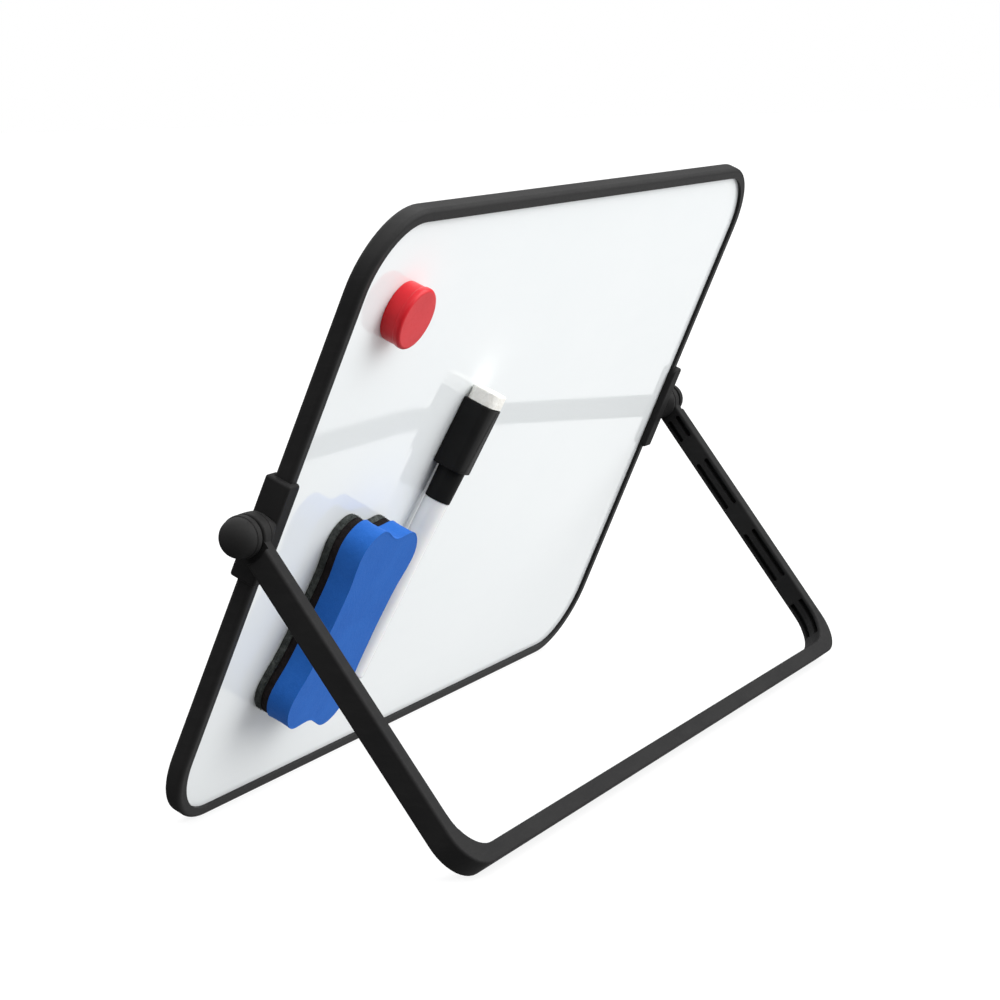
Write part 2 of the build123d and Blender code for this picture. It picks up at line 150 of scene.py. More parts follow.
# ----------------------------------------------------------- material helpers
class Mat:
    def __init__(self, name):
        self.m = bpy.data.materials.new(name)
        self.m.use_nodes = True
        self.t = self.m.node_tree
        self.t.nodes.clear()
        self.out = self.t.nodes.new("ShaderNodeOutputMaterial")
        self.b = self.t.nodes.new("ShaderNodeBsdfPrincipled")
        self.t.links.new(self.b.outputs[0], self.out.inputs[0])
        self.tc = self.t.nodes.new("ShaderNodeTexCoord")

    def put(self, **kw):
        names = {"base": "Base Color", "rough": "Roughness", "metal": "Metallic", "ior": "IOR", "spec": "Specular IOR Level",
                 "coat": "Coat Weight", "coat_rough": "Coat Roughness", "sheen": "Sheen Weight", "sheen_rough": "Sheen Roughness",
                 "sheen_tint": "Sheen Tint", "sub": "Subsurface Weight", "sub_scale": "Subsurface Scale", "normal": "Normal", "alpha": "Alpha"}
        for k, v in kw.items():
            s = self.b.inputs[names[k]]
            if isinstance(v, bpy.types.NodeSocket):
                self.t.links.new(v, s)
            elif isinstance(v, (tuple, list)) and len(v) == 3:
                s.default_value = (*v, 1.0)
            else:
                s.default_value = v
        return self

    def _set(self, node, key, v):
        if isinstance(v, bpy.types.NodeSocket):
            self.t.links.new(v, node.inputs[key])
        else:
            node.inputs[key].default_value = v

    def co(self, sx=1000.0, sy=None, sz=None, rot=(0, 0, 0)):
        mp = self.t.nodes.new("ShaderNodeMapping")
        mp.vector_type = "POINT"
        mp.inputs["Scale"].default_value = (sx, sy or sx, sz or sx)
        mp.inputs["Rotation"].default_value = rot
        self.t.links.new(self.tc.outputs["Object"], mp.inputs["Vector"])
        return mp.outputs[0]

    def noise(self, vec, scale, detail=3.0, rough=0.5, dist=0.0, kind="FBM"):
        n = self.t.nodes.new("ShaderNodeTexNoise")
        n.noise_type = kind
        self._set(n, "Vector", vec)
        for k, v in (("Scale", scale), ("Detail", detail), ("Roughness", rough), ("Distortion", dist)):
            n.inputs[k].default_value = v
        return n.outputs[0]

    def voronoi(self, vec, scale, feature="F1", rnd=1.0, out="Distance"):
        n = self.t.nodes.new("ShaderNodeTexVoronoi")
        n.feature = feature
        self._set(n, "Vector", vec)
        n.inputs["Scale"].default_value = scale
        n.inputs["Randomness"].default_value = rnd
        return n.outputs[out]

    def ramp(self, fac, stops, interp="LINEAR"):
        n = self.t.nodes.new("ShaderNodeValToRGB")
        n.color_ramp.interpolation = interp
        e = n.color_ramp.elements
        while len(e) < len(stops):
            e.new(0.5)
        for i, (p, c) in enumerate(stops):
            e[i].position = p
            e[i].color = (c, c, c, 1.0) if isinstance(c, (int, float)) else (*c, 1.0)
        self.t.links.new(fac, n.inputs[0])
        return n.outputs[0]

    def mix(self, fac, a, b, kind="MIX"):
        n = self.t.nodes.new("ShaderNodeMix")
        n.data_type = "RGBA"
        n.blend_type = kind
        for key, v in ((0, fac), (6, a), (7, b)):
            if isinstance(v, bpy.types.NodeSocket):
                self.t.links.new(v, n.inputs[key])
            elif key == 0:
                n.inputs[key].default_value = v
            else:
                n.inputs[key].default_value = (*v, 1.0)
        return n.outputs[2]

    def math(self, op, a, b=0.0, clamp=False):
        n = self.t.nodes.new("ShaderNodeMath")
        n.operation = op
        n.use_clamp = clamp
        for i, v in enumerate((a, b)):
            if isinstance(v, bpy.types.NodeSocket):
                self.t.links.new(v, n.inputs[i])
            else:
                n.inputs[i].default_value = v
        return n.outputs[0]

    def map(self, v, a0, a1, b0, b1):
        n = self.t.nodes.new("ShaderNodeMapRange")
        self.t.links.new(v, n.inputs[0])
        for i, x in enumerate((a0, a1, b0, b1)):
            n.inputs[i + 1].default_value = x
        return n.outputs[0]

    def bump(self, height, strength, dist_mm, normal=None):
        n = self.t.nodes.new("ShaderNodeBump")
        n.inputs["Strength"].default_value = strength
        n.inputs["Distance"].default_value = dist_mm * MM
        self.t.links.new(height, n.inputs["Height"])
        if normal is not None:
            self.t.links.new(normal, n.inputs["Normal"])
        return n.outputs[0]


def satin_black(name, tone=0.0190, rough=0.50, spec=0.045, grain=1.0, tint=(1.0, 0.99, 0.985)):
    """Moulded black plastic: a fine spark-eroded grain, soft flow marks, a little dust."""
    k = Mat(name)
    c = k.co()
    broad = k.noise(c, 0.035, 3, 0.55)
    flow = k.noise(k.co(120, 120, 500, (0.4, 0.2, 0.9)), 1.0, 4, 0.6, 0.6)
    mottle = k.noise(c, 1.1, 4, 0.6)
    fine = k.noise(c, 5.0, 2, 0.6)
    lo, hi = tone * 0.86, tone * 1.16
    base = k.mix(k.map(broad, 0.3, 0.7, 0.0, 1.0), (lo * tint[0], lo * tint[1], lo * 1.02), (hi * tint[0], hi * tint[1], hi * tint[2]))
    base = k.mix(k.map(flow, 0.45, 0.75, 0.0, 0.35), base, (tone * 1.5, tone * 1.48, tone * 1.47))
    base = k.mix(k.map(fine, 0.3, 0.7, 0.0, 0.22), base, (tone * 0.55, tone * 0.55, tone * 0.57))
    speck = k.ramp(k.voronoi(c, 0.30, "F1"), [(0.0, 1.0), (0.03, 1.0), (0.05, 0.0)])
    dust = k.math("MULTIPLY", speck, k.map(k.noise(c, 0.11, 2), 0.58, 0.78, 0.0, 0.22))
    base = k.mix(dust, base, (0.12, 0.117, 0.113))
    r = k.math("ADD", k.map(mottle, 0.3, 0.7, rough - 0.03, rough + 0.04), k.map(broad, 0.3, 0.7, -0.025, 0.03))
    b1 = k.bump(mottle, 0.16 * grain, 0.02)
    b2 = k.bump(fine, 0.40 * grain, 0.010, b1)
    k.put(base=base, rough=r, spec=spec, normal=b2)
    return k.m


def lacquer(name):
    """White gloss lacquer on thin steel sheet: a soft ripple, faint wipe haze."""
    k = Mat(name)
    c = k.co()
    wave = k.noise(c, 0.018, 2, 0.45)
    peel = k.noise(c, 0.35, 2, 0.5)
    haze = k.noise(k.co(16.0, 40.0, 110.0, (0.5, 0.35, 0.2)), 1.0, 5, 0.62, 0.8)
    smear = k.map(haze, 0.48, 0.72, 0.0, 1.0)
    cloud = k.noise(c, 0.012, 4, 0.6)
    base = k.mix(k.map(cloud, 0.3, 0.7, 0.0, 1.0), (0.885, 0.920, 0.930), (0.905, 0.935, 0.944))
    base = k.mix(k.math("MULTIPLY", smear, 0.25), base, (0.87, 0.903, 0.917))
    r = k.math("ADD", k.map(smear, 0.0, 1.0, 0.035, 0.060), k.map(cloud, 0.3, 0.7, 0.0, 0.012))
    b1 = k.bump(wave, 0.3, 0.05)
    b2 = k.bump(peel, 0.05, 0.01, b1)
    k.put(base=base, rough=r, spec=0.6, normal=b2)
    return k.m


def red_plastic(name):
    k = Mat(name)
    c = k.co()
    broad = k.noise(c, 0.12, 3, 0.5)
    mott = k.noise(c, 0.9, 4, 0.6)
    fine = k.noise(c, 4.0, 2, 0.5)
    base = k.mix(k.map(broad, 0.3, 0.7, 0, 1), (0.63, 0.013, 0.022), (0.69, 0.019, 0.029))
    base = k.mix(k.map(mott, 0.5, 0.8, 0, 0.3), base, (0.55, 0.011, 0.018))
    scr = k.ramp(k.noise(k.co(900, 60, 500, (0.3, 0.8, 0.5)), 1.0, 2, 0.5), [(0.68, 0.0), (0.74, 1.0)])
    r = k.math("ADD", k.map(mott, 0.3, 0.7, 0.30, 0.38), k.math("MULTIPLY", scr, 0.06))
    k.put(base=base, rough=r, spec=0.24, sub=0.08, sub_scale=0.0012, normal=k.bump(fine, 0.35, 0.01, k.bump(mott, 0.15, 0.02)))
    k.b.inputs["Subsurface Radius"].default_value = (1.0, 0.15, 0.12)
    return k.m


def eva_foam(name):
    """Closed-cell foam: tiny cells in colour, roughness and relief, with painted shade in the pores."""
    k = Mat(name)
    c = k.co()
    cells = k.voronoi(c, 2.6, "F1")
    cells2 = k.voronoi(c, 5.2, "F1")
    soft = k.noise(c, 0.09, 4, 0.6)
    fine = k.noise(c, 2.0, 4, 0.65)
    base = k.mix(k.map(soft, 0.3, 0.7, 0, 1), (0.011, 0.103, 0.44), (0.017, 0.124, 0.49))
    base = k.mix(k.map(cells, 0.25, 0.6, 0.0, 0.35), base, (0.026, 0.148, 0.54))
    # painted shade: darker dots at the cell centres stand in for the shade inside the open pores
    pore_shade = k.ramp(cells2, [(0.0, 1.0), (0.14, 0.0)])
    base = k.mix(k.math("MULTIPLY", pore_shade, 0.35), base, (0.012, 0.06, 0.28))
    h = k.math("ADD", k.math("MULTIPLY", cells, 0.6), k.math("MULTIPLY", fine, 0.7))
    k.put(base=base, rough=k.map(fine, 0.3, 0.7, 0.62, 0.78), spec=0.12, sheen=0.06, sheen_rough=0.5, sheen_tint=(0.45, 0.62, 1.0),
          normal=k.bump(h, 0.35, 0.07, k.bump(soft, 0.25, 0.2)))
    return k.m


def felt(name, dark, light, tuft, sheen, bump=0.8):
    """Pressed felt: matted fibres at two scales."""
    k = Mat(name)
    c = k.co()
    f1 = k.noise(k.co(900, 2600, 900, (0.4, 0.9, 0.2)), 1.0, 4, 0.7, 1.2)
    f2 = k.noise(k.co(2600, 900, 1100, (1.1, 0.2, 0.7)), 1.0, 4, 0.7, 1.2)
    f = k.math("MAXIMUM", f1, f2)
    clump = k.noise(c, 0.5, 4, 0.65)
    base = k.mix(k.map(f, 0.45, 0.75, 0, 1), dark, light)
    base = k.mix(k.map(clump, 0.45, 0.75, 0, 0.6), base, tuft)
    h = k.math("ADD", f, k.math("MULTIPLY", clump, 0.8))
    k.put(base=base, rough=0.95, spec=0.12, sheen=sheen, sheen_rough=0.45, sheen_tint=tuft, normal=k.bump(h, bump, 0.2))
    return k.m


def plastic(name, a, b, rough, spec=0.5, coat=0.0, sub=0.0):
    k = Mat(name)
    c = k.co()
    broad = k.noise(c, 0.1, 3, 0.5)
    mott = k.noise(c, 0.8, 4, 0.6)
    fine = k.noise(c, 3.5, 2, 0.5)
    base = k.mix(k.map(broad, 0.3, 0.7, 0, 1), a, b)
    k.put(base=base, rough=k.map(mott, 0.3, 0.7, rough - 0.03, rough + 0.04), spec=spec, coat=coat, coat_rough=0.1,
          normal=k.bump(fine, 0.2, 0.008, k.bump(mott, 0.12, 0.02)))
    if sub:
        k.put(sub=sub, sub_scale=0.001)
    return k.m


def metal(name, a, b, rough):
    k = Mat(name)
    brush = k.noise(k.co(300, 4000, 4000), 1.0, 3, 0.6)
    mott = k.noise(k.co(), 0.8, 4, 0.6)
    base = k.mix(k.map(mott, 0.3, 0.7, 0, 1), a, b)
    k.put(base=base, metal=1.0, rough=k.map(brush, 0.3, 0.7, rough - 0.06, rough + 0.08), normal=k.bump(brush, 0.3, 0.01))
    return k.m


def ferrite(name):
    k = Mat(name)
    g = k.noise(k.co(), 2.2, 5, 0.7)
    base = k.mix(k.map(g, 0.3, 0.7, 0, 1), (0.045, 0.045, 0.048), (0.1, 0.1, 0.105))
    k.put(base=base, rough=k.map(g, 0.3, 0.7, 0.45, 0.65), spec=0.5, normal=k.bump(g, 0.5, 0.05))
    return k.m


def board_wood(name):
    k = Mat(name)
    g = k.noise(k.co(400, 400, 3000), 1.0, 5, 0.7)
    base = k.mix(k.map(g, 0.3, 0.7, 0, 1), (0.2, 0.12, 0.06), (0.38, 0.26, 0.15))
    k.put(base=base, rough=0.8, normal=k.bump(g, 0.5, 0.1))
    return k.m


BLACK = satin_black("black_abs")
RIMBLACK = satin_black("black_rim", tone=0.0205, rough=0.46, spec=0.085)
CAPBLACK = plastic("marker_cap_black", (0.0120, 0.0122, 0.0125), (0.0150, 0.0150, 0.0150), 0.13, spec=0.032)
WHITE = lacquer("white_lacquer")
RED = red_plastic("red_button")
BLUE = eva_foam("blue_eva")
BFELT = felt("black_felt", (0.010, 0.008, 0.008), (0.020, 0.016, 0.016), (0.028, 0.021, 0.021), 0.05)
GFELT = felt("grey_felt", (0.030, 0.034, 0.032), (0.092, 0.102, 0.096), (0.160, 0.172, 0.160), 0.30)
CFELT = felt("cream_felt", (0.90, 0.885, 0.83), (0.96, 0.955, 0.92), (0.975, 0.97, 0.945), 0.3, bump=0.5)
BARREL = plastic("barrel_white", (0.88, 0.89, 0.9), (0.92, 0.925, 0.93), 0.2, sub=0.1)
WICK = felt("wick_fibre", (0.6, 0.6, 0.6), (0.75, 0.75, 0.75), (0.8, 0.8, 0.8), 0.1)
NIB = felt("nib_fibre", (0.01, 0.01, 0.012), (0.03, 0.03, 0.035), (0.05, 0.05, 0.055), 0.1)
BRASS = metal("brass", (0.65, 0.45, 0.16), (0.75, 0.55, 0.25), 0.3)
ZINC = metal("zinc_steel", (0.5, 0.51, 0.53), (0.62, 0.63, 0.64), 0.28)
WASHER = plastic("washer_rubber", (0.012, 0.012, 0.012), (0.02, 0.02, 0.02), 0.6, spec=0.3)
FERRITE = ferrite("ferrite")
CORE = board_wood("hardboard")

by_node = {
    "front_sheet": WHITE, "back_sheet": WHITE, "board_core": CORE, "rim_upper": RIMBLACK, "rim_lower": RIMBLACK,
    "hinge_bracket_left": BLACK, "hinge_bracket_right": BLACK, "threaded_inserts": BRASS, "pivot_screws": ZINC,
    "friction_washers": WASHER, "stand_frame": BLACK, "wave_washers": ZINC, "hinge_cap_left": BLACK, "hinge_cap_right": BLACK,
    "magnet_shell": RED, "magnet_disc": FERRITE, "marker_cap": CAPBLACK, "cap_magnet": FERRITE, "cap_felt": CFELT,
    "marker_barrel": BARREL, "marker_end_plug": BARREL, "ink_reservoir": WICK, "nib_holder": BARREL, "marker_nib": NIB,
    "eraser_foam": BLUE, "eraser_felt": BFELT, "eraser_magnets": FERRITE,
}
for n, m in by_node.items():
    me = nodes[n].data
    me.materials.clear()
    me.materials.append(m)


# -------------------------------------------------------------------- helpers
def wob(p, scale, seed=0.0, octaves=3):
    """Smooth noise about -1..1 at a point in millimetres; scale in cycles per millimetre."""
    v = Vector((float(p[0]) * scale + seed, float(p[1]) * scale - seed * 0.7, float(p[2]) * scale + seed * 1.3))
    return mnoise.fractal(v, 1.0, 2.0, octaves)


def join_tris(lists):
    verts, faces = [], []
    for v, f in lists:
        o = len(verts)
        verts += list(v)
        faces += [tuple(i + o for i in q) for q in f]
    return verts, faces


def paint(ob, mat):
    ob.data.materials.clear()
    ob.data.materials.append(mat)
    return ob


def strand(root, direction, length, width, droop, rng, seg=3):
    """A thin tapered three-sided fibre with closed ends."""
    d = np.array(direction, float)
    d /= np.linalg.norm(d)
    side = np.cross(d, rng.normal(size=3))
    side /= np.linalg.norm(side)
    bend = side * rng.uniform(-0.5, 0.5) + np.array(droop)
    verts, faces = [], []
    for i in range(seg + 1):
        t = i / seg
        c = root + d * length * t + bend * length * t * t * 0.5
        r = width * 0.5 * (1 - 0.75 * t)
        e1 = side
        e2 = np.cross(d, side)
        for j in range(3):
            a = 2 * math.pi * j / 3
            verts.append(c + r * (e1 * math.cos(a) + e2 * math.sin(a)))
    for i in range(seg):
        for j in range(3):
            j2 = (j + 1) % 3
            faces.append((3 * i + j, 3 * i + j2, 3 * i + 3 + j2, 3 * i + 3 + j))
    faces.append((2, 1, 0))
    faces.append((3 * seg, 3 * seg + 1, 3 * seg + 2))
    return verts, faces


# --------------------------------------------------------------------- eraser
FACE = 1.8 + 0.05
ERA_C, ERA_S = math.cos(math.radians(11.46)), math.sin(math.radians(11.46))
ERA_X = -ERA_C * X - ERA_S * U
ERA_Y = -ERA_S * X + ERA_C * U
ERA_O = at(93.07, 68.06, FACE)
FELT_T, FOAM_T = 5.2, 8.3
QUARTER = [(0, 17.0), (22, 18.57), (42, 24.23), (55, 34.05), (64, 36.57), (73, 36.6), (82, 33.93), (90, 32.64)]


def eraser_outline(k):
    """k points of the closed smooth curve through the outline's marks."""
    q = QUARTER
    ring = q + [(180 - a, r) for a, r in q[-2::-1]]
    ring += [(180 + a, r) for a, r in q[1:]] + [(360 - a, r) for a, r in q[-2:0:-1]]
    p = np.array([(r * math.cos(math.radians(a)), r * math.sin(math.radians(a))) for a, r in ring])
    n = len(p)
    h = np.linalg.norm(np.roll(p, -1, 0) - p, axis=1)
    A = np.zeros((n, n))
    rhs = np.zeros((n, 2))
    for i in range(n):
        A[i, i - 1] = h[i - 1]
        A[i, i] = 2 * (h[i - 1] + h[i])
        A[i, (i + 1) % n] = h[i]
        rhs[i] = 6 * ((p[(i + 1) % n] - p[i]) / h[i] - (p[i] - p[i - 1]) / h[i - 1])
    m = np.linalg.solve(A, rhs)
    s = np.concatenate([[0], np.cumsum(h)])
    out = []
    for t in np.linspace(0, s[-1], k, endpoint=False):
        i = min(int(np.searchsorted(s, t, "right") - 1), n - 1)
        a, b = s[i + 1] - t, t - s[i]
        j = (i + 1) % n
        out.append((m[i] * a ** 3 + m[j] * b ** 3) / (6 * h[i]) + (p[i] / h[i] - m[i] * h[i] / 6) * a + (p[j] / h[i] - m[j] * h[i] / 6) * b)
    return np.array(out)


def outward(o):
    t = np.roll(o, -1, 0) - np.roll(o, 1, 0)
    t /= np.linalg.norm(t, axis=1)[:, None]
    return np.stack([t[:, 1], -t[:, 0]], 1)


def era(p, z):
    return ERA_O + ERA_X * p[0] + ERA_Y * p[1] + N * z


def slab(name, outline, z0, z1, side_rows, offset_fn, top_fn, top_rings, sharp, edge):
    """A cut block: displaced side wall, small edge radius, a top skin that top_fn can make uneven, and a flat bottom
    skin.
    """
    nrm = outward(outline)
    rings = []
    mid = outline.mean(0)

    def skin(z, sgn):
        res = []
        for s in np.linspace(0.03, 1.0, top_rings):
            res.append([era(mid + (o - nn * edge - mid) * s, z + sgn * top_fn(era(mid + (o - mid) * s, z), s)) for o, nn in zip(outline, nrm)])
        return res

    low = skin(z0, -0.0)
    rings += low
    for a in (30, 60):
        c, s = math.cos(math.radians(a)), math.sin(math.radians(a))
        rings.append([era(o - nn * (edge - edge * s), z0 + edge - edge * c) for o, nn in zip(outline, nrm)])
    for t in np.linspace(0, 1, side_rows):
        z = z0 + edge + (z1 - z0 - 2 * edge) * t
        rings.append([era(o + nn * offset_fn(era(o, z), t), z) for o, nn in zip(outline, nrm)])
    for a in (30, 60):
        c, s = math.cos(math.radians(a)), math.sin(math.radians(a))
        rings.append([era(o - nn * (edge - edge * c), z1 - edge + edge * s) for o, nn in zip(outline, nrm)])
    rings += skin(z1, 1.0)[::-1]
    v, f = loft(rings, close_u=True, close_v=False)
    return make(name, v, f, sharp)


def build_eraser():
    rng = np.random.default_rng(11)
    o = eraser_outline(560)
    foam = slab("eraser_foam_block", o, FELT_T, FELT_T + FOAM_T, 22,
                lambda p, t: -0.16 * math.sin(math.pi * t) ** 0.8 + 0.05 * wob(p, 1.6, 3.0) + 0.07 * wob(p, 0.35, 8.0, 2) - 0.06,
                lambda p, s: -0.03 - 0.07 * (wob(p, 0.09, 5.0, 2) + 0.6) - 0.025 * (wob(p, 1.1, 9.0, 2) + 0.5), 46, 38.0, 0.28)
    paint(foam, BLUE)
    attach(foam, "eraser")
    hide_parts("eraser_foam")

    inner = o - outward(o) * 0.55
    split = 2.5
    pad = slab("eraser_felt_pad", inner, split, FELT_T, 12,
               lambda p, t: -0.10 + 0.16 * wob(p, 1.3, 21.0) + 0.10 * wob(p, 0.4, 2.0, 2) - 0.22 * math.exp(-((t - 0.0) / 0.10) ** 2),
               lambda p, s: 0.0, 10, 60.0, 0.2)
    paint(pad, BFELT)
    face = slab("eraser_felt_face", inner, 0.0, split, 12,
                lambda p, t: -0.05 + 0.22 * wob(p, 1.2, 31.0) + 0.12 * wob(p, 0.4, 12.0, 2) - 0.25 * max(0.0, t - 0.8) / 0.2,
                lambda p, s: 0.0, 10, 60.0, 0.3)
    paint(face, GFELT)
    for ob in (pad, face):
        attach(ob, "eraser")
        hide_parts("eraser_felt")

    per = outward(inner)
    lists, dark = [], []
    for i in range(5200):
        j = int(rng.integers(len(inner)))
        z = rng.uniform(0.25, split - 0.1)
        nn = per[j]
        root = era(inner[j] + nn * -0.12, z)
        w = ERA_X * nn[0] + ERA_Y * nn[1]
        tang = -ERA_X * nn[1] + ERA_Y * nn[0]
        d = w * rng.uniform(0.35, 1.0) + tang * rng.normal(0, 0.75) + N * rng.normal(0, 0.35)
        ln = rng.uniform(0.3, 0.85)
        z_end = z + ln * (d @ N) / np.linalg.norm(d)
        if z_end < 0.12 or z_end > split + 0.5:
            continue
        lists.append(strand(root, d, ln, rng.uniform(0.05, 0.10), w * -0.2, rng))
    for i in range(2600):
        j = int(rng.integers(len(inner)))
        z = rng.uniform(split + 0.2, FELT_T - 0.2)
        nn = per[j]
        root = era(inner[j] + nn * -0.16, z)
        w = ERA_X * nn[0] + ERA_Y * nn[1]
        tang = -ERA_X * nn[1] + ERA_Y * nn[0]
        d = w * rng.uniform(0.2, 0.7) + tang * rng.normal(0, 1.0) + N * rng.normal(0, 0.3)
        dark.append(strand(root, d, rng.uniform(0.3, 0.6), rng.uniform(0.05, 0.09), w * -0.3, rng))
    for nm, ls, mat in (("eraser_felt_fibres", lists, GFELT), ("eraser_pad_fibres", dark, BFELT)):
        v, f = join_tris(ls)
        ob = make(nm, v, f, 80.0)
        paint(ob, mat)
        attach(ob, "eraser")


build_eraser()

# --------------------------------------------------------- felt on the cap's end
MK_T = math.radians(13.45)
MA = -math.sin(MK_T) * X + math.cos(MK_T) * U
MP = math.cos(MK_T) * X + math.sin(MK_T) * U
MOUTH = at(46.43, 102.6, 1.8 + 0.05 + 5.15)
COLLAR_L, BLOCK_L, BLOCK_N, AXIS_N = 11.3, 23.7, 10.2, 5.15


def mk(p, n, a):
    return MOUTH + MP * p + N * n + MA * a


def build_cap_felt():
    rng = np.random.default_rng(5)
    k = 160
    w, h, r = 12.2 / 2, 9.8 / 2, 3.2
    pts = []
    for i in range(k):
        t = 2 * math.pi * (i + 0.5) / k
        # rounded rectangle by direction
        c, s = math.cos(t), math.sin(t)
        lo_, hi_ = 0.0, 20.0
        for _ in range(40):
            m_ = (lo_ + hi_) / 2
            qx, qy = abs(c * m_) - (w - r), abs(s * m_) - (h - r)
            dd = math.hypot(max(qx, 0), max(qy, 0)) + min(max(qx, qy), 0) - r
            lo_, hi_ = (m_, hi_) if dd < 0 else (lo_, m_)
        pts.append((c * lo_, s * lo_))
    o = np.array(pts)
    nrm = outward(o)
    cn = BLOCK_N / 2 - AXIS_N
    z0, z1 = COLLAR_L + BLOCK_L, COLLAR_L + BLOCK_L + 5.0
    rings = []

    def q(p, a):
        return mk(p[0], p[1] + cn, a)

    for s in np.linspace(0.05, 0.97, 8):
        rings.append([q(p * s, z0 + 0.02) for p in o])
    for t in np.linspace(0, 1, 14):
        a = z0 + 0.05 + (5.0 - 0.75) * t
        rings.append([q(p + nn * (-0.12 + 0.09 * wob(q(p, a), 1.1, 4.0) + 0.08 * wob(q(p, a), 0.35, 9.0, 2)), a) for p, nn in zip(o, nrm)])
    for b in (25, 50, 72):
        c, s = math.cos(math.radians(b)), math.sin(math.radians(b))
        rings.append([q(p - nn * (0.12 + 0.62 * (1 - c) - 0.05 * wob(q(p, z1), 1.1, 4.0)), z1 - 0.7 + 0.62 * s) for p, nn in zip(o, nrm)])
    for s in np.linspace(0.9, 0.05, 14):
        rings.append([q(p * s, z1 - 0.07 + 0.05 * wob(q(p * s, z1), 0.9, 6.0) - 0.02) for p in o])
    v, f = loft(rings)
    ob = make("marker_cap_felt", v, f, 60.0)
    paint(ob, CFELT)
    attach(ob, "marker_cap")
    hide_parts("cap_felt")
    ls = []
    for i in range(900):
        j = int(rng.integers(k))
        a = rng.uniform(z0 + 0.2, z1 - 0.5)
        nn = nrm[j]
        wv = MP * nn[0] + N * nn[1]
        d = wv * rng.uniform(0.3, 0.9) + MA * rng.normal(0, 0.8) + (MP * -nn[1] + N * nn[0]) * rng.normal(0, 0.8)
        root = q(o[j] - nn * 0.2, a)
        ln = rng.uniform(0.25, 0.5)
        if a + ln * (d @ MA) > z1 - 0.1 or a + ln * (d @ MA) < z0 + 0.05:
            continue
        if (root + d * ln - O) @ N < FACE + 0.1:
            continue
        ls.append(strand(root, d, ln, 0.05, wv * -0.2, rng))
    v, f = join_tris(ls)
    fo = make("marker_felt_fibres", v, f, 80.0)
    paint(fo, CFELT)
    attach(fo, "marker_cap")


build_cap_felt()


# ------------------------------------------------------------- cap of the marker
def build_marker_cap():
    def ring(a, inset, pocket):
        pts = []
        w, lo_n, hi_n = 6.3 - inset, -AXIS_N + inset, BLOCK_N - AXIS_N - inset
        rt, rb = 1.9, 0.7
        # top right corner round to the bottom, then the pocket for the magnet, then up the left
        for i in range(9):
            t = math.radians(90 - 90 * i / 8)
            pts.append((w - rt + rt * math.cos(t), hi_n - rt + rt * math.sin(t)))
        for i in range(1, 7):
            pts.append((w, hi_n - rt - (hi_n - rt - lo_n - rb) * i / 7))
        for i in range(5):
            t = math.radians(-90 * i / 4)
            pts.append((w - rb + rb * math.cos(t), lo_n + rb + rb * math.sin(t)))
        d = 1.6 if pocket else 0.0
        for p_, n_ in ((4.21, lo_n), (4.20, lo_n + d), (2.1, lo_n + d), (0.0, lo_n + d), (-2.1, lo_n + d), (-4.20, lo_n + d), (-4.21, lo_n)):
            pts.append((p_, n_))
        for i in range(5):
            t = math.radians(-90 - 90 * i / 4)
            pts.append((-w + rb + rb * math.cos(t), lo_n + rb + rb * math.sin(t)))
        for i in range(1, 7):
            pts.append((-w, lo_n + rb + (hi_n - rt - lo_n - rb) * i / 7))
        for i in range(9):
            t = math.radians(180 - 90 * i / 8)
            pts.append((-w + rt + rt * math.cos(t), hi_n - rt + rt * math.sin(t)))
        for i in range(1, 12):
            pts.append((-w + rt + (2 * w - 2 * rt) * i / 12, hi_n))
        # the outer face is slightly crowned
        return [mk(p_, n_ - (0.8 * (p_ / 6.3) ** 2 if n_ > 0 else 0.0) * min(1.0, max(0.0, n_ / 3.0)), a) for p_, n_ in pts]

    rows = [(COLLAR_L, 0.35, False), (COLLAR_L + 0.1, 0.12, False), (COLLAR_L + 0.35, 0.0, False)]
    rows += [(a, 0.0, False) for a in (12.4, 13.48)]
    rows += [(a, 0.0, True) for a in (13.5, 16.0, 19.0, 22.0, 25.0, 28.0, 31.0, 33.0)]
    rows += [(a, 0.0, False) for a in (33.02, 34.0)]
    end = COLLAR_L + BLOCK_L
    rows += [(end - 0.5, 0.0, False), (end - 0.31, 0.04, False), (end - 0.15, 0.15, False), (end - 0.04, 0.31, False), (end, 0.5, False)]
    v, f = loft([ring(*r) for r in rows])
    block = make("marker_cap_block", v, f, 40.0)
    prof = [(0.0, 11.25), (3.2, 11.25), (3.75, 10.9), (3.75, 0.25), (3.85, 0.05), (4.0, 0.0), (4.28, 0.0), (4.42, 0.08), (4.46, 0.3),
            (4.55, 5.5), (4.65, 11.4), (4.65, 12.2), (0.0, 12.2)]
    collar = lathe("marker_cap_collar", prof, MOUTH, MA, MP, 96, 40.0)
    for ob in (block, collar):
        paint(ob, CAPBLACK)
        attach(ob, "marker_cap")
        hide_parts("marker_cap")


build_marker_cap()


# ------------------------------------------------------------- domed hinge caps
def build_hinge_caps():
    for side, node in ((-1, "hinge_cap_left"), (1, "hinge_cap_right")):
        prof = [(0.0, 160.2), (4.2, 160.2), (4.2, 157.7), (4.72, 157.7), (4.72, 158.6), (5.4, 158.62), (5.4, 159.9)]
        prof += [(6.3, 159.9), (6.52, 159.99), (6.6, 160.2), (6.6, 161.2), (6.55, 161.62), (6.42, 161.98)]
        # a fine step where the dome meets the skirt
        prof += [(6.22, 162.06), (6.17, 162.16), (6.16, 162.4)]
        k = 30
        for i in range(1, k + 1):
            t = i / k
            r = 6.16 * math.cos(t * math.pi / 2) if i < k else 0.0
            prof.append((r, 162.4 + 5.3 * (1 - (r / 6.16) ** 2.1) ** (1 / 1.95)))
        ob = lathe(node + "_dome", prof, PIV, X * side, U, 128, 40.0)
        paint(ob, BLACK)
        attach(ob, "stand")
        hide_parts(node)


build_hinge_caps()


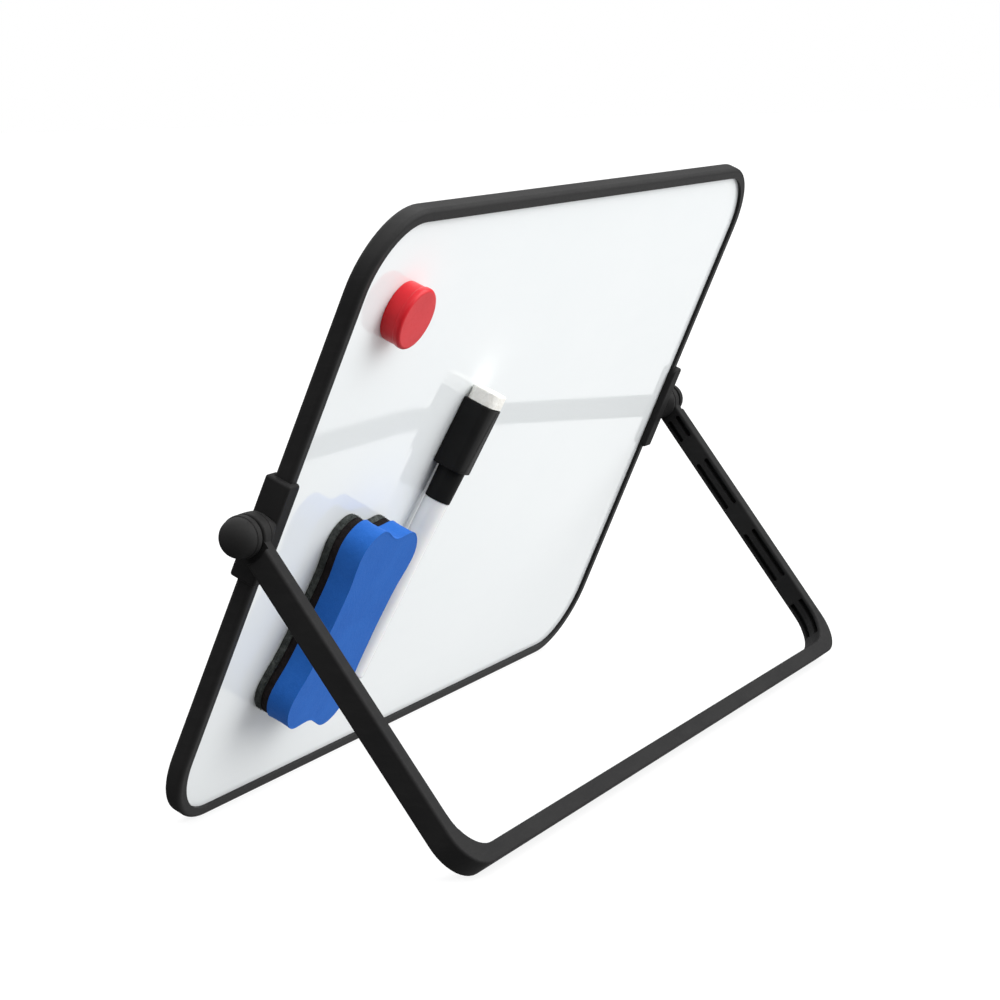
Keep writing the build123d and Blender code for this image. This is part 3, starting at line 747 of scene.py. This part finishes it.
# ------------------------------------------------------------- button magnet
def build_magnet_button():
    """Straight side with a slightly wider ring at the front, then a rounded edge and a flat face."""
    prof = [(0.0, 4.6), (8.1, 4.6), (8.1, 0.0), (9.42, 0.0), (9.6, 0.06), (9.68, 0.28), (9.7, 0.6), (9.7, 4.3), (9.72, 4.5),
            (9.78, 4.68), (9.88, 4.82), (9.96, 4.96), (10.0, 5.2), (10.0, 5.9)]
    for i in range(1, 11):
        t = math.radians(9.0 * i)
        prof.append((8.9 + 1.1 * math.cos(t), 5.9 + 1.1 * math.sin(t)))
    prof += [(8.72, 7.0), (8.2, 7.0), (4.0, 7.0), (0.0, 7.0)]
    ob = lathe("magnet_button", prof, at(117.2, 176.7, 1.85), N, U, 128, 40.0)
    paint(ob, RED)
    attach(ob, "magnet")
    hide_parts("magnet_shell")


build_magnet_button()


# --------------------------------------------------------------------- stage
def build_stage():
    k = Mat("floor_paper")
    c = k.co(1.0)
    k.put(base=k.mix(k.map(k.noise(c, 60, 4, 0.6), 0.3, 0.7, 0, 1), (0.17, 0.17, 0.17), (0.18, 0.18, 0.18)), rough=0.85, spec=0.1,
          normal=k.bump(k.noise(c, 900, 3, 0.6), 0.1, 0.05))
    k.b.inputs["Emission Color"].default_value = (1.0, 1.0, 1.0, 1.0)
    k.b.inputs["Emission Strength"].default_value = 0.84
    bm = bmesh.new()
    bmesh.ops.create_circle(bm, cap_ends=True, radius=9.0, segments=128)
    me = bpy.data.meshes.new("floor")
    bm.to_mesh(me)
    bm.free()
    fl = bpy.data.objects.new("floor", me)
    scene.collection.objects.link(fl)
    me.materials.append(k.m)
    fl.visible_diffuse = False
    fl.visible_glossy = False
    fl.visible_shadow = False

    w = bpy.data.worlds.new("studio")
    scene.world = w
    w.use_nodes = True
    t = w.node_tree
    t.nodes.clear()
    out = t.nodes.new("ShaderNodeOutputWorld")
    bg = t.nodes.new("ShaderNodeBackground")
    tc = t.nodes.new("ShaderNodeTexCoord")
    sep = t.nodes.new("ShaderNodeSeparateXYZ")
    t.links.new(tc.outputs["Generated"], sep.inputs[0])
    x, y, z = sep.outputs

    def mth(op, *args):
        n = t.nodes.new("ShaderNodeMath")
        n.operation = op
        for i, v in enumerate(args):
            if isinstance(v, bpy.types.NodeSocket):
                t.links.new(v, n.inputs[i])
            else:
                n.inputs[i].default_value = v
        return n.outputs[0]

    def step(v, a, b):
        n = t.nodes.new("ShaderNodeMapRange")
        n.interpolation_type = "SMOOTHSTEP"
        t.links.new(v, n.inputs[0])
        for i, s in enumerate((a, b, 0.0, 1.0)):
            n.inputs[i + 1].default_value = s
        return n.outputs[0]

    def toward(d):
        d = np.array(d) / np.linalg.norm(d)
        return mth("ADD", mth("ADD", mth("MULTIPLY", x, float(d[0])), mth("MULTIPLY", y, float(d[1]))), mth("MULTIPLY", z, float(d[2])))

    def less(amount, s):
        return mth("SUBTRACT", 1.0, mth("MULTIPLY", s, amount))

    # a large soft ceiling, a lit sweep below, flags towards +X and -X
    up = step(z, 0.1, 0.75)
    lum = mth("ADD", WORLD[0], mth("MULTIPLY", up, WORLD[1]))
    lum = mth("ADD", lum, mth("MULTIPLY", step(mth("MULTIPLY", z, -1.0), 0.02, 0.25), WORLD[2]))
    lum = mth("ADD", lum, mth("MULTIPLY", step(y, 0.0, 0.8), WORLD[3]))
    lum = mth("ADD", lum, mth("MULTIPLY", step(mth("MULTIPLY", y, -1.0), 0.0, 0.8), WORLD[4]))
    flag = mth("MULTIPLY", step(x, -0.05, 0.7), less(0.5, up))
    lum = mth("MULTIPLY", lum, less(WORLD[5], flag))
    lum = mth("MULTIPLY", lum, less(0.74, step(toward((-0.95, 0.10, 0.10)), 0.70, 0.94)))
    lum = mth("MULTIPLY", lum, less(0.70, step(toward((0.35, 0.84, -0.42)), 0.72, 0.94)))
    lum = mth("MULTIPLY", lum, less(0.85, step(toward((-0.46, -0.78, -0.41)), 0.60, 0.90)))
    lum = mth("MULTIPLY", lum, less(WORLD[6], step(mth("MULTIPLY", y, -1.0), 0.0, 0.55)))
    # a soft diagonal strip light on the bare side, which shows the gloss there
    strip = mth("MULTIPLY", less(1.0, step(mth("ABSOLUTE", toward((-0.52, 0.615, 0.59))), 0.025, 0.10)), step(mth("MULTIPLY", y, -1.0), 0.1, 0.35))
    lum = mth("ADD", lum, mth("MULTIPLY", strip, 1.0))
    # a bright card that the sheet mirrors
    card = mth("MULTIPLY", step(toward((-0.90, 0.20, -0.385)), 0.955, 0.990), step(z, -0.60, -0.40))
    lum = mth("ADD", lum, mth("MULTIPLY", card, WORLD[7]))
    # the camera sees plain white beyond the floor
    lp = t.nodes.new("ShaderNodeLightPath")
    cam = lp.outputs["Is Camera Ray"]
    lum = mth("ADD", mth("MULTIPLY", lum, mth("SUBTRACT", 1.0, cam)), cam)
    comb = t.nodes.new("ShaderNodeCombineColor")
    for i in range(3):
        t.links.new(lum, comb.inputs[i])
    t.links.new(comb.outputs[0], bg.inputs[0])
    t.links.new(bg.outputs[0], out.inputs[0])

    def area(name, loc, target, size, power, color=(1, 1, 1)):
        L = bpy.data.lights.new(name, "AREA")
        L.shape = "RECTANGLE"
        L.size, L.size_y = size
        L.energy = power
        L.color = color
        o = bpy.data.objects.new(name, L)
        o.location = loc
        d = Vector(target) - Vector(loc)
        o.rotation_mode = "QUATERNION"
        o.rotation_quaternion = d.to_track_quat("-Z", "Y")
        o.visible_camera = False
        scene.collection.objects.link(o)
        return o

    area("key_soft", (-1.0, 1.6, 0.75), (0, 0, 0.08), (2.3, 1.8), KEY_W)


WORLD = (0.20, 2.35, 0.30, 0.45, 0.25, 0.56, 0.38, 0.68)
KEY_W = 32.0
build_stage()


def build_camera():
    cam = bpy.data.cameras.new("camera")
    cam.sensor_width = 36.0
    cam.sensor_fit = "HORIZONTAL"
    cam.lens = 2663.128 / 1000 * 36.0
    cam.clip_start, cam.clip_end = 0.05, 60.0
    o = bpy.data.objects.new("camera", cam)
    right = Vector((-0.43901962, 0.89814542, -0.02442496))
    up = Vector((-0.15824313, -0.05053328, 0.98610623))
    back = Vector((0.88443252, 0.43678506, 0.16431045))
    o.matrix_world = Matrix(((right.x, up.x, back.x, 0.811095), (right.y, up.y, back.y, 0.392279), (right.z, up.z, back.z, 0.234142), (0, 0, 0, 1)))
    scene.collection.objects.link(o)
    scene.camera = o


build_camera()
scene.view_settings.view_transform = "Standard"
scene.view_settings.look = "None"

bpy.context.view_layer.update()
